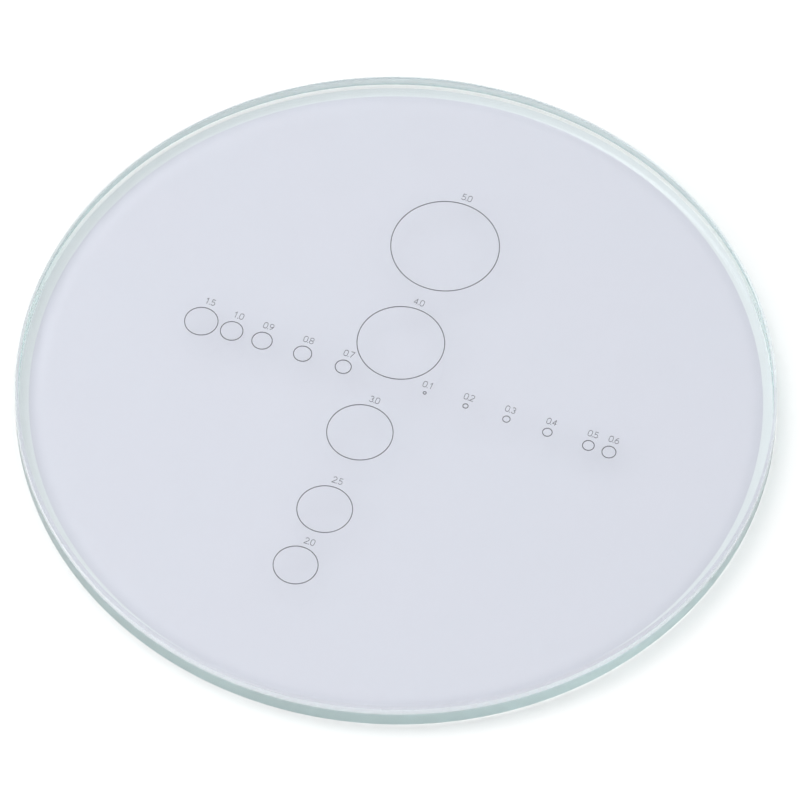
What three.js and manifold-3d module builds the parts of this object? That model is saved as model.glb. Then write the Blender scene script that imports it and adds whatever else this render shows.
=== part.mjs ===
// A glass circle gauge: a flat round glass plate whose upper face carries sixteen circle outlines
// of known diameter, set out on two crossed arms, with the diameter in millimetres above each one.
//
// Units are millimetres. The underside lies on Z = 0 and the plate's axis is the Z axis.
// +X runs along the arm of the small circles, and the numbers read in that direction.

import * as THREE from 'three';
import { mergeVertices } from 'three/addons/utils/BufferGeometryUtils.js';
import Module from 'manifold-3d';

const wasm = await Module();
wasm.setup();

// Driving dimensions of the plate
const PLATE_RADIUS = 17.5;
const PLATE_THICKNESS = 1.5;
const ARRIS = 0.15;
const PLATE_SEGMENTS = 120;

// Driving dimensions of the deposited marks
const FILM_THICKNESS = 0.02;
const CIRCLE_LINE = 0.04;
const DIGIT_LINE = 0.025;
const DIGIT_WIDTH = 0.2;
const DIGIT_HEIGHT = 0.34;
const DIGIT_PITCH = 0.29;
const LABEL_GAP = 0.24;

// The point where the two arms cross, measured from the plate's axis
const CROSSING = new THREE.Vector2(-0.63, 0.06);

// Each circle's diameter, which is the clear width inside its line, and its place along its arm,
// measured from the crossing. Aside is how far a circle stands to the right of its arm.
const CIRCLES_ALONG_X = [
  { diameter: 1.5, place: -9 },
  { diameter: 1.0, place: -7.5 },
  { diameter: 0.9, place: -6 },
  { diameter: 0.8, place: -4 },
  { diameter: 0.7, place: -2 },
  { diameter: 0.1, place: 2 },
  { diameter: 0.2, place: 4 },
  { diameter: 0.3, place: 6 },
  { diameter: 0.4, place: 8 },
  { diameter: 0.5, place: 10 },
  { diameter: 0.6, place: 11 },
];
const CIRCLES_ALONG_Y = [
  { diameter: 5.0, place: 8 },
  { diameter: 4.0, place: 2.2 },
  { diameter: 3.0, place: -3.1 },
  { diameter: 2.5, place: -7.6 },
  { diameter: 2.0, place: -10.9, aside: -0.15 },
];

// The box that a digit's centre lines fill, which leaves half a line's width all round
const BOX_WIDTH = DIGIT_WIDTH - DIGIT_LINE;
const BOX_HEIGHT = DIGIT_HEIGHT - DIGIT_LINE;
const MIDDLE_X = BOX_WIDTH / 2;

// ---- Materials ----

function glassMaterial() {
  return new THREE.MeshStandardMaterial({
    color: 0xdfe2ec, roughness: 0.05, metalness: 0, transparent: true, opacity: 0.5,
  });
}

function markMaterial() {
  return new THREE.MeshStandardMaterial({ color: 0x3c3e44, roughness: 0.35, metalness: 0.8 });
}

// ---- Outlines ----

function point(x, y) {
  return new THREE.Vector2(x, y);
}

// Points along an arc of an ellipse, with angles in degrees from +X
function arc(centreX, centreY, radiusX, radiusY, from, to, steps) {
  const points = [];
  for (let step = 0; step <= steps; step += 1) {
    const angle = THREE.MathUtils.degToRad(THREE.MathUtils.lerp(from, to, step / steps));
    const x = centreX + radiusX * Math.cos(angle);
    const y = centreY + radiusY * Math.sin(angle);
    points.push(point(x, y));
  }
  return points;
}

function loop(centreY, radiusY, steps) {
  return arc(MIDDLE_X, centreY, MIDDLE_X, radiusY, 0, 360, steps).slice(0, -1);
}

// The point half a line's width to the left of a centre line, where two of its stretches meet
function mitre(before, corner, after) {
  const arriving = corner.clone().sub(before ?? corner).normalize();
  const leaving = (after ?? corner).clone().sub(corner).normalize();
  const heading = arriving.clone().add(leaving).normalize();
  const straight = before && after ? heading.dot(leaving) : 1;
  const left = point(-heading.y, heading.x);
  return corner.clone().addScaledVector(left, DIGIT_LINE / 2 / straight);
}

function leftSide(centreLine, closed) {
  const last = centreLine.length - 1;
  return centreLine.map((corner, index) => {
    const before = index > 0 ? centreLine[index - 1] : closed && centreLine[last];
    const after = index < last ? centreLine[index + 1] : closed && centreLine[0];
    return mitre(before || undefined, corner, after || undefined);
  });
}

function openStroke(centreLine) {
  const left = leftSide(centreLine, false);
  const right = leftSide([...centreLine].reverse(), false);
  return new THREE.Shape([...left, ...right]);
}

// A closed centre line runs anticlockwise, so its left side is the hole
function closedStroke(centreLine) {
  const outer = leftSide([...centreLine].reverse(), true);
  const shape = new THREE.Shape(outer);
  shape.holes.push(new THREE.Path(leftSide(centreLine, true)));
  return shape;
}

// ---- Digits, each a list of strokes that overlap where they join ----

const DIGITS = {
  0: () => {
    const cap = MIDDLE_X;
    const top = arc(MIDDLE_X, BOX_HEIGHT - cap, cap, cap, 0, 180, 10);
    const bottom = arc(MIDDLE_X, cap, cap, cap, 180, 360, 10);
    return [closedStroke([...top, ...bottom])];
  },
  1: () => {
    const stem = 0.6 * BOX_WIDTH;
    const flag = point(0.15 * BOX_WIDTH, 0.76 * BOX_HEIGHT);
    return [openStroke([flag, point(stem, BOX_HEIGHT), point(stem, 0)])];
  },
  2: () => {
    const bowl = 0.28 * BOX_HEIGHT;
    const top = arc(MIDDLE_X, BOX_HEIGHT - bowl, MIDDLE_X, bowl, 160, -30, 12);
    return [openStroke([...top, point(0, 0), point(BOX_WIDTH, 0)])];
  },
  3: () => {
    const bowl = BOX_HEIGHT / 4;
    const upper = arc(MIDDLE_X, BOX_HEIGHT - bowl, 0.9 * MIDDLE_X, bowl, 150, -90, 14);
    const lower = arc(MIDDLE_X, bowl, MIDDLE_X, bowl, 90, -150, 14);
    return [openStroke(upper), openStroke(lower)];
  },
  4: () => {
    const stem = 0.7 * BOX_WIDTH;
    const bar = 0.3 * BOX_HEIGHT;
    const slope = openStroke([point(stem, BOX_HEIGHT), point(0, bar), point(BOX_WIDTH, bar)]);
    return [slope, openStroke([point(stem, BOX_HEIGHT), point(stem, 0)])];
  },
  5: () => {
    const bowl = 0.31 * BOX_HEIGHT;
    const flag = [point(0.9 * BOX_WIDTH, BOX_HEIGHT), point(0.12 * BOX_WIDTH, BOX_HEIGHT)];
    const belly = arc(0.45 * BOX_WIDTH, bowl, 0.55 * BOX_WIDTH, bowl, 130, -145, 14);
    return [openStroke([...flag, ...belly])];
  },
  6: () => {
    const bowl = 0.29 * BOX_HEIGHT;
    const tail = arc(BOX_WIDTH, bowl, BOX_WIDTH, BOX_HEIGHT - bowl, 180, 105, 8);
    return [closedStroke(loop(bowl, bowl, 20)), openStroke(tail)];
  },
  7: () => {
    const foot = point(0.35 * BOX_WIDTH, 0);
    return [openStroke([point(0, BOX_HEIGHT), point(BOX_WIDTH, BOX_HEIGHT), foot])];
  },
  8: () => {
    const bowl = BOX_HEIGHT / 4;
    return [closedStroke(loop(BOX_HEIGHT - bowl, bowl, 20)), closedStroke(loop(bowl, bowl, 20))];
  },
  9: () => {
    const bowl = 0.29 * BOX_HEIGHT;
    const tail = arc(0, BOX_HEIGHT - bowl, BOX_WIDTH, BOX_HEIGHT - bowl, 0, -75, 8);
    return [closedStroke(loop(BOX_HEIGHT - bowl, bowl, 20)), openStroke(tail)];
  },
};

// ---- Solids ----

function extrude(shape) {
  return new THREE.ExtrudeGeometry(shape, { depth: FILM_THICKNESS, bevelEnabled: false });
}

// A closed solid made of shared corners only
function toManifold(geometry) {
  const bare = geometry.clone();
  bare.deleteAttribute('normal');
  bare.deleteAttribute('uv');
  const merged = mergeVertices(bare, 1e-5);
  const vertProperties = new Float32Array(merged.attributes.position.array);
  const triVerts = new Uint32Array(merged.index.array);
  return new wasm.Manifold(new wasm.Mesh({ numProp: 3, vertProperties, triVerts }));
}

function fromManifold(solid) {
  const mesh = solid.getMesh();
  const geometry = new THREE.BufferGeometry();
  geometry.setAttribute('position', new THREE.BufferAttribute(mesh.vertProperties, 3));
  geometry.setIndex(new THREE.BufferAttribute(mesh.triVerts, 1));
  geometry.computeVertexNormals();
  return geometry;
}

function digitGeometry(digit) {
  const strokes = DIGITS[digit]().map((shape) => toManifold(extrude(shape)));
  return fromManifold(strokes.reduce((whole, stroke) => whole.add(stroke)));
}

function ringGeometry(diameter) {
  const clearRadius = diameter / 2;
  const segments = diameter < 2 ? 36 : 72;
  const turn = (radius) => arc(0, 0, radius, radius, 0, 360, segments).slice(0, -1);
  const shape = new THREE.Shape(turn(clearRadius + CIRCLE_LINE));
  shape.holes.push(new THREE.Path(turn(clearRadius)));
  return extrude(shape);
}

function plateGeometry() {
  const profile = [
    point(0, 0),
    point(PLATE_RADIUS - ARRIS, 0),
    point(PLATE_RADIUS, ARRIS),
    point(PLATE_RADIUS, PLATE_THICKNESS - ARRIS),
    point(PLATE_RADIUS - ARRIS, PLATE_THICKNESS),
    point(0, PLATE_THICKNESS),
  ];
  const geometry = new THREE.LatheGeometry(profile, PLATE_SEGMENTS);
  return geometry.rotateX(Math.PI / 2);
}

// ---- Assembly ----

function namedMesh(name, geometry, material) {
  const mesh = new THREE.Mesh(geometry, material);
  mesh.name = name;
  return mesh;
}

function makePlate() {
  return namedMesh('glass_plate', plateGeometry(), glassMaterial());
}

// The two digits of one number, centred on x = 0 and standing on y = 0
function makeLabel(sizeName, wholeDigit, tenthsDigit) {
  const label = new THREE.Group();
  const digits = { whole: wholeDigit, tenths: tenthsDigit };
  Object.entries(digits).forEach(([role, digit], index) => {
    const mesh = namedMesh(`number_${sizeName}_${role}`, digitGeometry(digit), markMaterial());
    mesh.position.x = (index - 0.5) * DIGIT_PITCH - BOX_WIDTH / 2;
    mesh.position.y = DIGIT_LINE / 2;
    label.add(mesh);
  });
  return label;
}

function makeMark(diameter, aside) {
  const [wholeDigit, tenthsDigit] = diameter.toFixed(1).split('.');
  const sizeName = `${wholeDigit}_${tenthsDigit}`;
  const mark = new THREE.Group();
  const circle = namedMesh(`circle_${sizeName}`, ringGeometry(diameter), markMaterial());
  circle.position.x = aside;
  mark.add(circle);
  const label = makeLabel(sizeName, wholeDigit, tenthsDigit);
  label.position.y = diameter / 2 + LABEL_GAP;
  mark.add(label);
  return mark;
}

function makePattern() {
  const pattern = new THREE.Group();
  pattern.position.set(CROSSING.x, CROSSING.y, PLATE_THICKNESS);
  for (const { diameter, place } of CIRCLES_ALONG_X) {
    const mark = makeMark(diameter, 0);
    mark.position.x = place;
    pattern.add(mark);
  }
  for (const { diameter, place, aside = 0 } of CIRCLES_ALONG_Y) {
    const mark = makeMark(diameter, aside);
    mark.position.y = place;
    pattern.add(mark);
  }
  return pattern;
}

const circleTemplate = new THREE.Group();
circleTemplate.name = 'circle_template';
circleTemplate.add(makePlate());
circleTemplate.add(makePattern());

export default circleTemplate;
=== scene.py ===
"""The looks of a glass circle gauge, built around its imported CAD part.

Lengths are in metres. The plate's underside lies on z = 0 and its axis is the z axis.
"""

import math

import bpy
from mathutils import Matrix, Vector


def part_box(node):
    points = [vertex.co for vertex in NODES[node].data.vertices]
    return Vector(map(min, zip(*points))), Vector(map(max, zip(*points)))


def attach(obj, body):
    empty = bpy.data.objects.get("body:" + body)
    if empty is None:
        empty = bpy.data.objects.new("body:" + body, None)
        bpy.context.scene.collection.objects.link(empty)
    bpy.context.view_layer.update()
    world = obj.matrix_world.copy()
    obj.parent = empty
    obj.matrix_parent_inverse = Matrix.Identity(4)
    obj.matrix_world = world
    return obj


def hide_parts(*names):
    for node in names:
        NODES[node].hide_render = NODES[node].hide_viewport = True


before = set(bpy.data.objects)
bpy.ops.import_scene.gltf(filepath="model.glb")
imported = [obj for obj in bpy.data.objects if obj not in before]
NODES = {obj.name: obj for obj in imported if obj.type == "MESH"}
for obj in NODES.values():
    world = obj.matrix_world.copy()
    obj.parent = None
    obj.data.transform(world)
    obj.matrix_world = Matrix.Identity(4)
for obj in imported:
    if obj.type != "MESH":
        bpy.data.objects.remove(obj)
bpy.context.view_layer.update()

MM = 0.001

# The camera: a long lens that looks down at the middle of the plate's upper face
CAMERA_ELEVATION = math.radians(56.26)
CAMERA_AZIMUTH = math.radians(19.67)
CAMERA_ROLL = math.radians(1.26)
CAMERA_DISTANCE = 459 * MM
CAMERA_RIGHT = 0.171 * MM
CAMERA_DOWN = 0.688 * MM
CAMERA_LENS = 450
CAMERA_SENSOR = 36
CAMERA_NEAR = 0.01
CAMERA_FAR = 10

# The plate's cross-section
ARRIS = 0.15 * MM
FACE_RING = 2.0 * MM
TURN_SEGMENTS = 480

# The marks
LINE_WIDTH = 0.04 * MM
SOFT_EDGE = 0.004 * MM
RING_SEGMENTS = 160
DIGIT_WIDTH = 0.2 * MM
DIGIT_PITCH = 0.29 * MM
POINT_RADIUS = 0.02 * MM
POINT_SEGMENTS = 24

WHITE = (1, 1, 1, 1)

# The body of the glass
GLASS_IOR = 1.52
GLASS_TINT = (0.45, 0.82, 0.82, 1)
GLASS_DENSITY = 16.0

# The film under the plate: clouded, short of the rim, and darker in a band along its edge, which is
# painted shade in place of the table's shadow under the plate's edge
UNDERSIDE_HEIGHT = 0.005 * MM
FILM_TINT = (0.638, 0.643, 0.722, 1)
FILM_CLOUD_TINT = (0.630, 0.647, 0.724, 1)
FILM_CLOUD_SCALE = 180.0
FILM_RADIUS = 16.87 * MM
FILM_EDGE = 0.02 * MM
# The band along the film's edge is painted shade: a darker tint in place of the shadow on the table
# under the plate's edge
EDGE_SHADOW_WIDTH = 0.6 * MM
EDGE_SHADOW_TINT = (0.583, 0.595, 0.672, 1)
# The border outside the film is tinted darker and greener than clear glass
BORDER_TINT = (0.715, 0.762, 0.784, 1)

# The ground edge, which is frosted. It is paler and more frosted above the split, and greener and
# clearer below it: this split is painted light and shade, in place of the lower wall showing the
# shaded floor.
# The starts and ends are distances in from the rim.
GROUND_START = 0.95 * ARRIS
GROUND_END = 0.85 * ARRIS
WALL_START = 0.1 * ARRIS
WALL_END = 0.05 * ARRIS
WALL_SPLIT = 0.98 * MM
WALL_BLEND = 0.2 * MM
UPPER_WALL_PAINTED_LIGHT_TINT = (0.86, 0.88, 0.935, 1)
UPPER_WALL_ROUGHNESS = 0.2
UPPER_WALL_FROST = 0.7
LOWER_WALL_PAINTED_SHADE_TINT = (0.90, 0.95, 0.95, 1)
LOWER_WALL_ROUGHNESS = 0.3
LOWER_WALL_FROST = 0.1
GRAIN_SCALE = 26000.0
GRAIN_ROUGHNESS = 0.12
GRAIN_DEPTH = 0.004 * MM
GRAIN_STRENGTH = 0.2

# Wiping marks on the polished faces
HAIRLINE_ANGLES = (math.radians(24), math.radians(-61))
HAIRLINE_SCALE = (16000, 420, 420)
HAIRLINE_THRESHOLD = 0.7
HAIRLINE_FADE = 0.05
HAIRLINE_ROUGHNESS = 0.12

# The metal film of the marks
LINE_DARK = (0.10, 0.10, 0.115, 1)
LINE_PALE = (0.17, 0.17, 0.19, 1)
DIGIT_DARK = (0.14, 0.14, 0.155, 1)
DIGIT_PALE = (0.23, 0.23, 0.25, 1)
MARK_METALLIC = 0.4
MARK_ROUGHNESS = 0.25
MARK_GRAIN_SCALE = 60000.0
MARK_GRAIN_ROUGHNESS = 0.25

# Floor, sky and lamps
LIGHT_BOUNCES = 24
FLOOR_SIZE = 0.6
FLOOR_GAP = 0.02 * MM
FLOOR_COLOUR = (0.95, 0.95, 0.95, 1)
FLOOR_GLOW = 0.12
SKY_STRENGTH = 0.87
DARK_SHARE = 0.5
DARK_AZIMUTH = math.radians(98)
DARK_ELEVATION = math.radians(5)
DARK_TIGHTNESS = 4
# Each lamp's name, power in watts, side, distance, azimuth and elevation
LAMPS = (
    ("high_lamp", 0.27, 0.2, 0.4, math.radians(142), math.radians(62)),
    ("side_lamp", 0.014, 0.05, 0.12, math.radians(187), math.radians(42)),
)


# ---- Meshes ----

def new_object(name, vertices, faces, material):
    mesh = bpy.data.meshes.new(name)
    mesh.from_pydata(vertices, [], faces)
    mesh.update()
    mesh.materials.append(material)
    made = bpy.data.objects.new(name, mesh)
    bpy.context.scene.collection.objects.link(made)
    return made


def ring_of_points(radius, height, segments):
    """Corners on a level circle about the z axis, or the one point on the axis."""
    if radius == 0:
        return [(0.0, 0.0, height)]
    turn = [2 * math.pi * step / segments for step in range(segments)]
    return [(radius * math.cos(a), radius * math.sin(a), height) for a in turn]


def lathe(profile, segments, closed=False):
    """Turns a profile of (radius, height) about the z axis, with the outside on its right.

    An open profile starts and ends on the axis. A closed one joins its end to its start.
    """
    vertices = []
    rows = []
    for radius, height in profile:
        corners = ring_of_points(radius, height, segments)
        rows.append(range(len(vertices), len(vertices) + len(corners)))
        vertices += corners
    faces = []
    following_rows = rows[1:] + rows[:1] if closed else rows[1:]
    for low, high in zip(rows, following_rows):
        for step in range(segments):
            following = (step + 1) % segments
            if len(low) == 1:
                faces.append((low[0], high[following], high[step]))
            elif len(high) == 1:
                faces.append((low[step], low[following], high[0]))
            else:
                faces.append((low[step], low[following], high[following], high[step]))
    return vertices, faces


def moved(vertices, offset):
    return [tuple(Vector(vertex) + offset) for vertex in vertices]


# ---- Nodes ----

# A Mix node's sockets, by index: its share, what it mixes, and what comes out
MIX_SHARE = 0
MIX_NUMBERS = (2, 3)
MIX_COLOURS = (6, 7)
MIXED_NUMBER = 0
MIXED_COLOUR = 2


class Nodes:
    """Short ways to add and join the nodes of one material."""

    def __init__(self, name):
        self.material = bpy.data.materials.new(name)
        self.material.use_nodes = True
        self.tree = self.material.node_tree
        self.tree.nodes.clear()
        self.output = self.add("OutputMaterial")

    def add(self, kind, **inputs):
        node = self.tree.nodes.new("ShaderNode" + kind)
        for name, value in inputs.items():
            self.set(node, name.replace("_", " "), value)
        return node

    def set(self, node, name, value):
        if isinstance(value, bpy.types.NodeSocket):
            self.tree.links.new(value, node.inputs[name])
        else:
            node.inputs[name].default_value = value

    def math(self, operation, *values):
        node = self.tree.nodes.new("ShaderNodeMath")
        node.operation = operation
        for index, value in enumerate(values):
            self.set(node, index, value)
        return node.outputs[0]

    def vector(self, operation, value):
        node = self.tree.nodes.new("ShaderNodeVectorMath")
        node.operation = operation
        self.set(node, 0, value)
        return node

    def place(self):
        return self.add("TexCoord").outputs["Object"]

    def step(self, value, start, end):
        """0 up to start, 1 from end on and smooth between them. The end may be the lower one."""
        node = self.add("MapRange", From_Min=start, From_Max=end)
        node.interpolation_type = "SMOOTHSTEP"
        self.set(node, "Value", value)
        return node.outputs["Result"]

    def between(self, kind, sockets, share, values):
        node = self.tree.nodes.new("ShaderNodeMix")
        node.data_type = kind
        self.set(node, MIX_SHARE, share)
        for socket, value in zip(sockets, values):
            self.set(node, socket, value)
        return node

    def blend(self, share, first, second):
        """A number that goes from first to second."""
        return self.between("FLOAT", MIX_NUMBERS, share, (first, second)).outputs[MIXED_NUMBER]

    def mix(self, share, first, second):
        """A colour that goes from first to second."""
        return self.between("RGBA", MIX_COLOURS, share, (first, second)).outputs[MIXED_COLOUR]


def distance_from_axis(nodes, axes):
    flat = nodes.add("CombineXYZ", X=axes.outputs["X"], Y=axes.outputs["Y"])
    return nodes.vector("LENGTH", flat.outputs[0]).outputs["Value"]


def hairlines(nodes, place, angle):
    """Faint straight wiping marks: a fine noise drawn out along one direction."""
    turned = nodes.add("Mapping", Vector=place, Rotation=(0, 0, angle), Scale=HAIRLINE_SCALE)
    noise = nodes.add("TexNoise", Vector=turned.outputs[0], Scale=1.0, Detail=3.0)
    return nodes.step(noise.outputs[0], HAIRLINE_THRESHOLD, HAIRLINE_THRESHOLD + HAIRLINE_FADE)


def polish_roughness(nodes, place):
    """Smooth glass with two crossed sets of wiping marks."""
    one_way, other_way = (hairlines(nodes, place, angle) for angle in HAIRLINE_ANGLES)
    wiped = nodes.math("MAXIMUM", one_way, other_way)
    return nodes.math("MULTIPLY", wiped, HAIRLINE_ROUGHNESS)


def ground_roughness(nodes, grain, lower):
    even = nodes.blend(lower, UPPER_WALL_ROUGHNESS, LOWER_WALL_ROUGHNESS)
    return nodes.math("MULTIPLY_ADD", grain, GRAIN_ROUGHNESS, even)


def clear_share(nodes, wall, lower):
    """The share of the surface that is clear. The rest of the ground wall is frosted."""
    # The frost differs above and below the split as part of the painted light and shade on the wall
    frost = nodes.blend(lower, UPPER_WALL_FROST, LOWER_WALL_FROST)
    return nodes.blend(wall, 1.0, nodes.math("SUBTRACT", 1.0, frost))


def backing_colour(nodes, place, radius):
    """The film under the plate, painted shade along its edge, and the border outside it, tinted
    darker and greener than clear glass.
    """
    cloud = nodes.add("TexNoise", Vector=place, Scale=FILM_CLOUD_SCALE, Detail=2.0)
    film = nodes.mix(cloud.outputs[0], FILM_TINT, FILM_CLOUD_TINT)
    # Painted shade: a darker band just inside the film's edge, in place of the table's shadow under
    # the plate's edge
    edge_shadow = nodes.step(radius, FILM_RADIUS - EDGE_SHADOW_WIDTH, FILM_RADIUS)
    whole_film = nodes.mix(edge_shadow, film, EDGE_SHADOW_TINT)
    outside = nodes.step(radius, FILM_RADIUS, FILM_RADIUS + FILM_EDGE)
    return nodes.mix(outside, whole_film, BORDER_TINT)


def glass_material(plate_radius):
    """Clear glass whose faces, film and ground edge are told apart by their place on the plate.

    They share one material, because the absorption inside the glass needs a single one.
    """
    nodes = Nodes("optical_glass")
    place = nodes.place()
    axes = nodes.add("SeparateXYZ", Vector=place)
    height = axes.outputs["Z"]
    radius = distance_from_axis(nodes, axes)
    ground = nodes.step(radius, plate_radius - GROUND_START, plate_radius - GROUND_END)
    wall = nodes.step(radius, plate_radius - WALL_START, plate_radius - WALL_END)
    lower = nodes.step(height, WALL_SPLIT + WALL_BLEND / 2, WALL_SPLIT - WALL_BLEND / 2)
    underside = nodes.math("LESS_THAN", height, UNDERSIDE_HEIGHT)

    # Painted light and shade: the wall is paler above the split and greener below it
    wall_light_and_shade_tint = nodes.mix(lower, UPPER_WALL_PAINTED_LIGHT_TINT, LOWER_WALL_PAINTED_SHADE_TINT)
    above = nodes.mix(wall, WHITE, wall_light_and_shade_tint)
    colour = nodes.mix(underside, above, backing_colour(nodes, place, radius))

    grain = nodes.add("TexNoise", Vector=place, Scale=GRAIN_SCALE, Detail=4.0).outputs[0]
    polished = polish_roughness(nodes, place)
    roughness = nodes.blend(ground, polished, ground_roughness(nodes, grain, lower))
    bump = nodes.add("Bump", Height=grain, Distance=GRAIN_DEPTH)
    nodes.set(bump, "Strength", nodes.math("MULTIPLY", ground, GRAIN_STRENGTH))

    shader = nodes.add(
        "BsdfPrincipled",
        Base_Color=colour,
        Roughness=roughness,
        IOR=GLASS_IOR,
        Transmission_Weight=clear_share(nodes, wall, lower),
        Normal=bump.outputs[0],
    )
    nodes.set(nodes.output, "Surface", shader.outputs[0])
    inner = nodes.add("VolumeAbsorption", Color=GLASS_TINT, Density=GLASS_DENSITY)
    nodes.set(nodes.output, "Volume", inner.outputs[0])
    return nodes.material


def mark_material(name, dark, pale):
    """A metal film that is a little uneven in tone and sheen."""
    nodes = Nodes(name)
    noise = nodes.add("TexNoise", Vector=nodes.place(), Scale=MARK_GRAIN_SCALE, Detail=3.0)
    grain = noise.outputs[0]
    shader = nodes.add(
        "BsdfPrincipled",
        Base_Color=nodes.mix(grain, dark, pale),
        Roughness=nodes.math("MULTIPLY_ADD", grain, MARK_GRAIN_ROUGHNESS, MARK_ROUGHNESS),
        Metallic=MARK_METALLIC,
    )
    nodes.set(nodes.output, "Surface", shader.outputs[0])
    return nodes.material


def floor_material():
    """A matt white table that glows a little, so that the plate throws only a faint shadow."""
    nodes = Nodes("pale_floor")
    shader = nodes.add("BsdfPrincipled", Base_Color=FLOOR_COLOUR, Roughness=1.0)
    nodes.set(shader, "Specular IOR Level", 0.0)
    nodes.set(shader, "Emission Color", WHITE)
    nodes.set(shader, "Emission Strength", FLOOR_GLOW)
    nodes.set(nodes.output, "Surface", shader.outputs[0])
    return nodes.material


# ---- Pieces ----

def make_plate():
    low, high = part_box("glass_plate")
    radius = (high.x - low.x) / 2
    thickness = high.z - low.z
    rings = int((radius - ARRIS) / FACE_RING)
    under = [(ring * FACE_RING, 0.0) for ring in range(rings + 1)]
    over = [(ring * FACE_RING, thickness) for ring in range(rings, -1, -1)]
    edge = [
        (radius - ARRIS, 0.0),
        (radius, ARRIS),
        (radius, thickness - ARRIS),
        (radius - ARRIS, thickness),
    ]
    vertices, faces = lathe(under + edge + over, TURN_SEGMENTS)
    plate = new_object("plate", vertices, faces, glass_material(radius))
    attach(plate, "root")
    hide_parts("glass_plate")


def make_outline(node, material):
    """A fine smooth line of film in place of a CAD circle."""
    low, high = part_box(node)
    outer = (high.x - low.x) / 2
    inner = outer - LINE_WIDTH
    thickness = high.z - low.z
    shoulder = thickness - SOFT_EDGE
    profile = [
        (inner, 0.0),
        (outer, 0.0),
        (outer, shoulder),
        (outer - SOFT_EDGE, thickness),
        (inner + SOFT_EDGE, thickness),
        (inner, shoulder),
    ]
    vertices, faces = lathe(profile, RING_SEGMENTS, closed=True)
    centre = Vector(((low.x + high.x) / 2, (low.y + high.y) / 2, low.z))
    name = node.replace("circle", "outline")
    outline = new_object(name, moved(vertices, centre), faces, material)
    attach(outline, "root")
    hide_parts(node)


def number_middle(size_name):
    """The middle of a number's foot. A 1 is narrower than its place, so the other digit says."""
    whole_low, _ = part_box(f"number_{size_name}_whole")
    tenths_low, tenths_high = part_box(f"number_{size_name}_tenths")
    half = (DIGIT_WIDTH + DIGIT_PITCH) / 2
    if size_name.startswith("1"):
        return Vector((tenths_high.x - half, tenths_low.y, tenths_low.z))
    return Vector((whole_low.x + half, whole_low.y, whole_low.z))


def make_decimal_point(size_name, thickness, material):
    profile = [
        (0.0, 0.0),
        (POINT_RADIUS, 0.0),
        (POINT_RADIUS, thickness - SOFT_EDGE),
        (POINT_RADIUS - SOFT_EDGE, thickness),
        (0.0, thickness),
    ]
    vertices, faces = lathe(profile, POINT_SEGMENTS)
    foot = number_middle(size_name) + Vector((0, POINT_RADIUS, 0))
    point = new_object(f"point_{size_name}", moved(vertices, foot), faces, material)
    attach(point, "root")


def make_marks():
    line_film = mark_material("dark_chrome_film", LINE_DARK, LINE_PALE)
    digit_film = mark_material("thin_chrome_film", DIGIT_DARK, DIGIT_PALE)
    for name, node in NODES.items():
        if name.startswith("circle_"):
            low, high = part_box(name)
            make_outline(name, line_film)
            make_decimal_point(name.removeprefix("circle_"), high.z - low.z, digit_film)
        elif name.startswith("number_"):
            node.data.materials.clear()
            node.data.materials.append(digit_film)


# ---- Surroundings ----

def make_floor():
    half = FLOOR_SIZE / 2
    corners = [(x * half, y * half, -FLOOR_GAP) for x, y in ((-1, -1), (1, -1), (1, 1), (-1, 1))]
    floor = new_object("floor", corners, [(0, 1, 2, 3)], floor_material())


def direction(azimuth, elevation):
    """The way to a place round the plate. Azimuth 0 is the camera's right and 90 is away from it."""
    turned = azimuth + CAMERA_AZIMUTH
    level = math.cos(elevation)
    return Vector((level * math.cos(turned), level * math.sin(turned), math.sin(elevation)))


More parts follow.
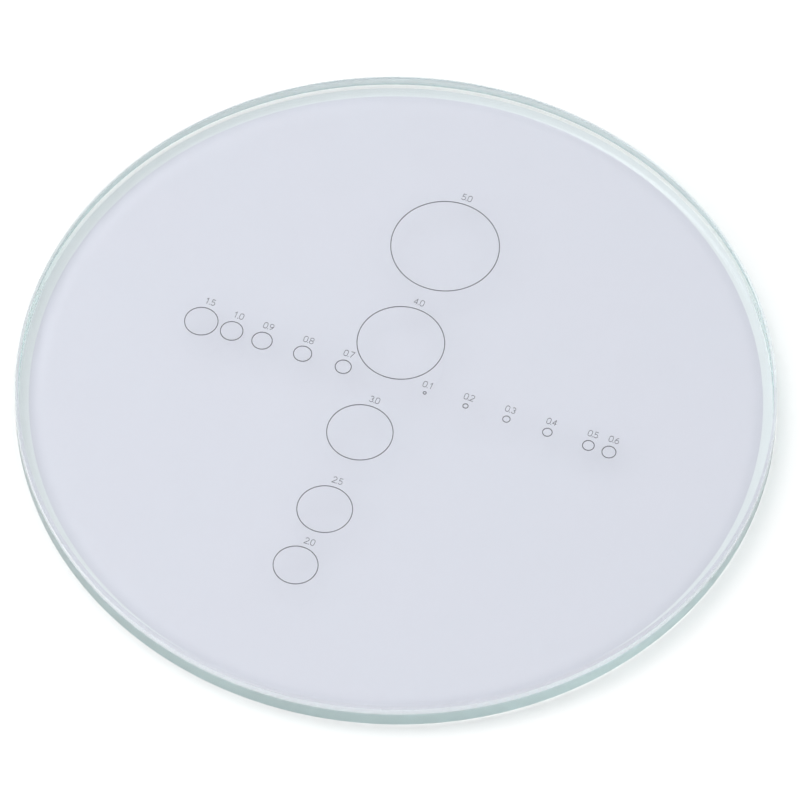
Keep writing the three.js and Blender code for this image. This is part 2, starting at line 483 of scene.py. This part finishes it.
def make_sky():
    """A white studio that is darker low down behind the plate."""
    world = bpy.data.worlds.new("studio")
    world.use_nodes = True
    tree = world.node_tree
    background = tree.nodes["Background"]
    background.inputs["Color"].default_value = WHITE
    place = tree.nodes.new("ShaderNodeTexCoord")
    facing = tree.nodes.new("ShaderNodeVectorMath")
    facing.operation = "DOT_PRODUCT"
    facing.inputs[1].default_value = direction(DARK_AZIMUTH, DARK_ELEVATION)
    tree.links.new(place.outputs["Generated"], facing.inputs[0])
    value = facing.outputs["Value"]
    for operation, second, third in (
        ("MAXIMUM", 0, 0),
        ("POWER", DARK_TIGHTNESS, 0),
        ("MULTIPLY_ADD", -DARK_SHARE * SKY_STRENGTH, SKY_STRENGTH),
    ):
        node = tree.nodes.new("ShaderNodeMath")
        node.operation = operation
        tree.links.new(value, node.inputs[0])
        node.inputs[1].default_value = second
        node.inputs[2].default_value = third
        value = node.outputs[0]
    tree.links.new(value, background.inputs["Strength"])
    bpy.context.scene.world = world


def make_lamp(name, power, side, distance, azimuth, elevation):
    data = bpy.data.lights.new(name, "AREA")
    data.energy = power
    data.size = side
    lamp = bpy.data.objects.new(name, data)
    towards = direction(azimuth, elevation)
    lamp.location = towards * distance
    lamp.rotation_euler = towards.to_track_quat("Z", "Y").to_euler()
    lamp.visible_camera = False
    bpy.context.scene.collection.objects.link(lamp)


def make_camera(target):
    """Looks at target from the front, turned about the vertical by CAMERA_AZIMUTH."""
    level = Matrix.Rotation(CAMERA_AZIMUTH, 3, "Z") @ Matrix.Rotation(
        math.pi / 2 - CAMERA_ELEVATION, 3, "X"
    )
    turn = level @ Matrix.Rotation(CAMERA_ROLL, 3, "Z")
    right, up, back = turn.col
    data = bpy.data.cameras.new("camera")
    data.lens = CAMERA_LENS
    data.sensor_width = CAMERA_SENSOR
    data.clip_start = CAMERA_NEAR
    data.clip_end = CAMERA_FAR
    camera = bpy.data.objects.new("camera", data)
    place = target + back * CAMERA_DISTANCE + right * CAMERA_RIGHT - up * CAMERA_DOWN
    camera.matrix_world = Matrix.Translation(place) @ turn.to_4x4()
    bpy.context.scene.collection.objects.link(camera)
    bpy.context.scene.camera = camera


def set_light_paths():
    """Glass over a pale floor needs many bounces, and glossy rays that aren't blurred."""
    scene = bpy.context.scene
    scene.cycles.max_bounces = LIGHT_BOUNCES
    scene.cycles.transmission_bounces = LIGHT_BOUNCES
    scene.cycles.glossy_bounces = LIGHT_BOUNCES
    scene.cycles.blur_glossy = 0
    scene.cycles.use_denoising = True
    scene.view_settings.view_transform = "Standard"


make_plate()
make_marks()
make_floor()
make_sky()
for lamp in LAMPS:
    make_lamp(*lamp)
make_camera(Vector((0, 0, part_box("glass_plate")[1].z)))
set_light_paths()
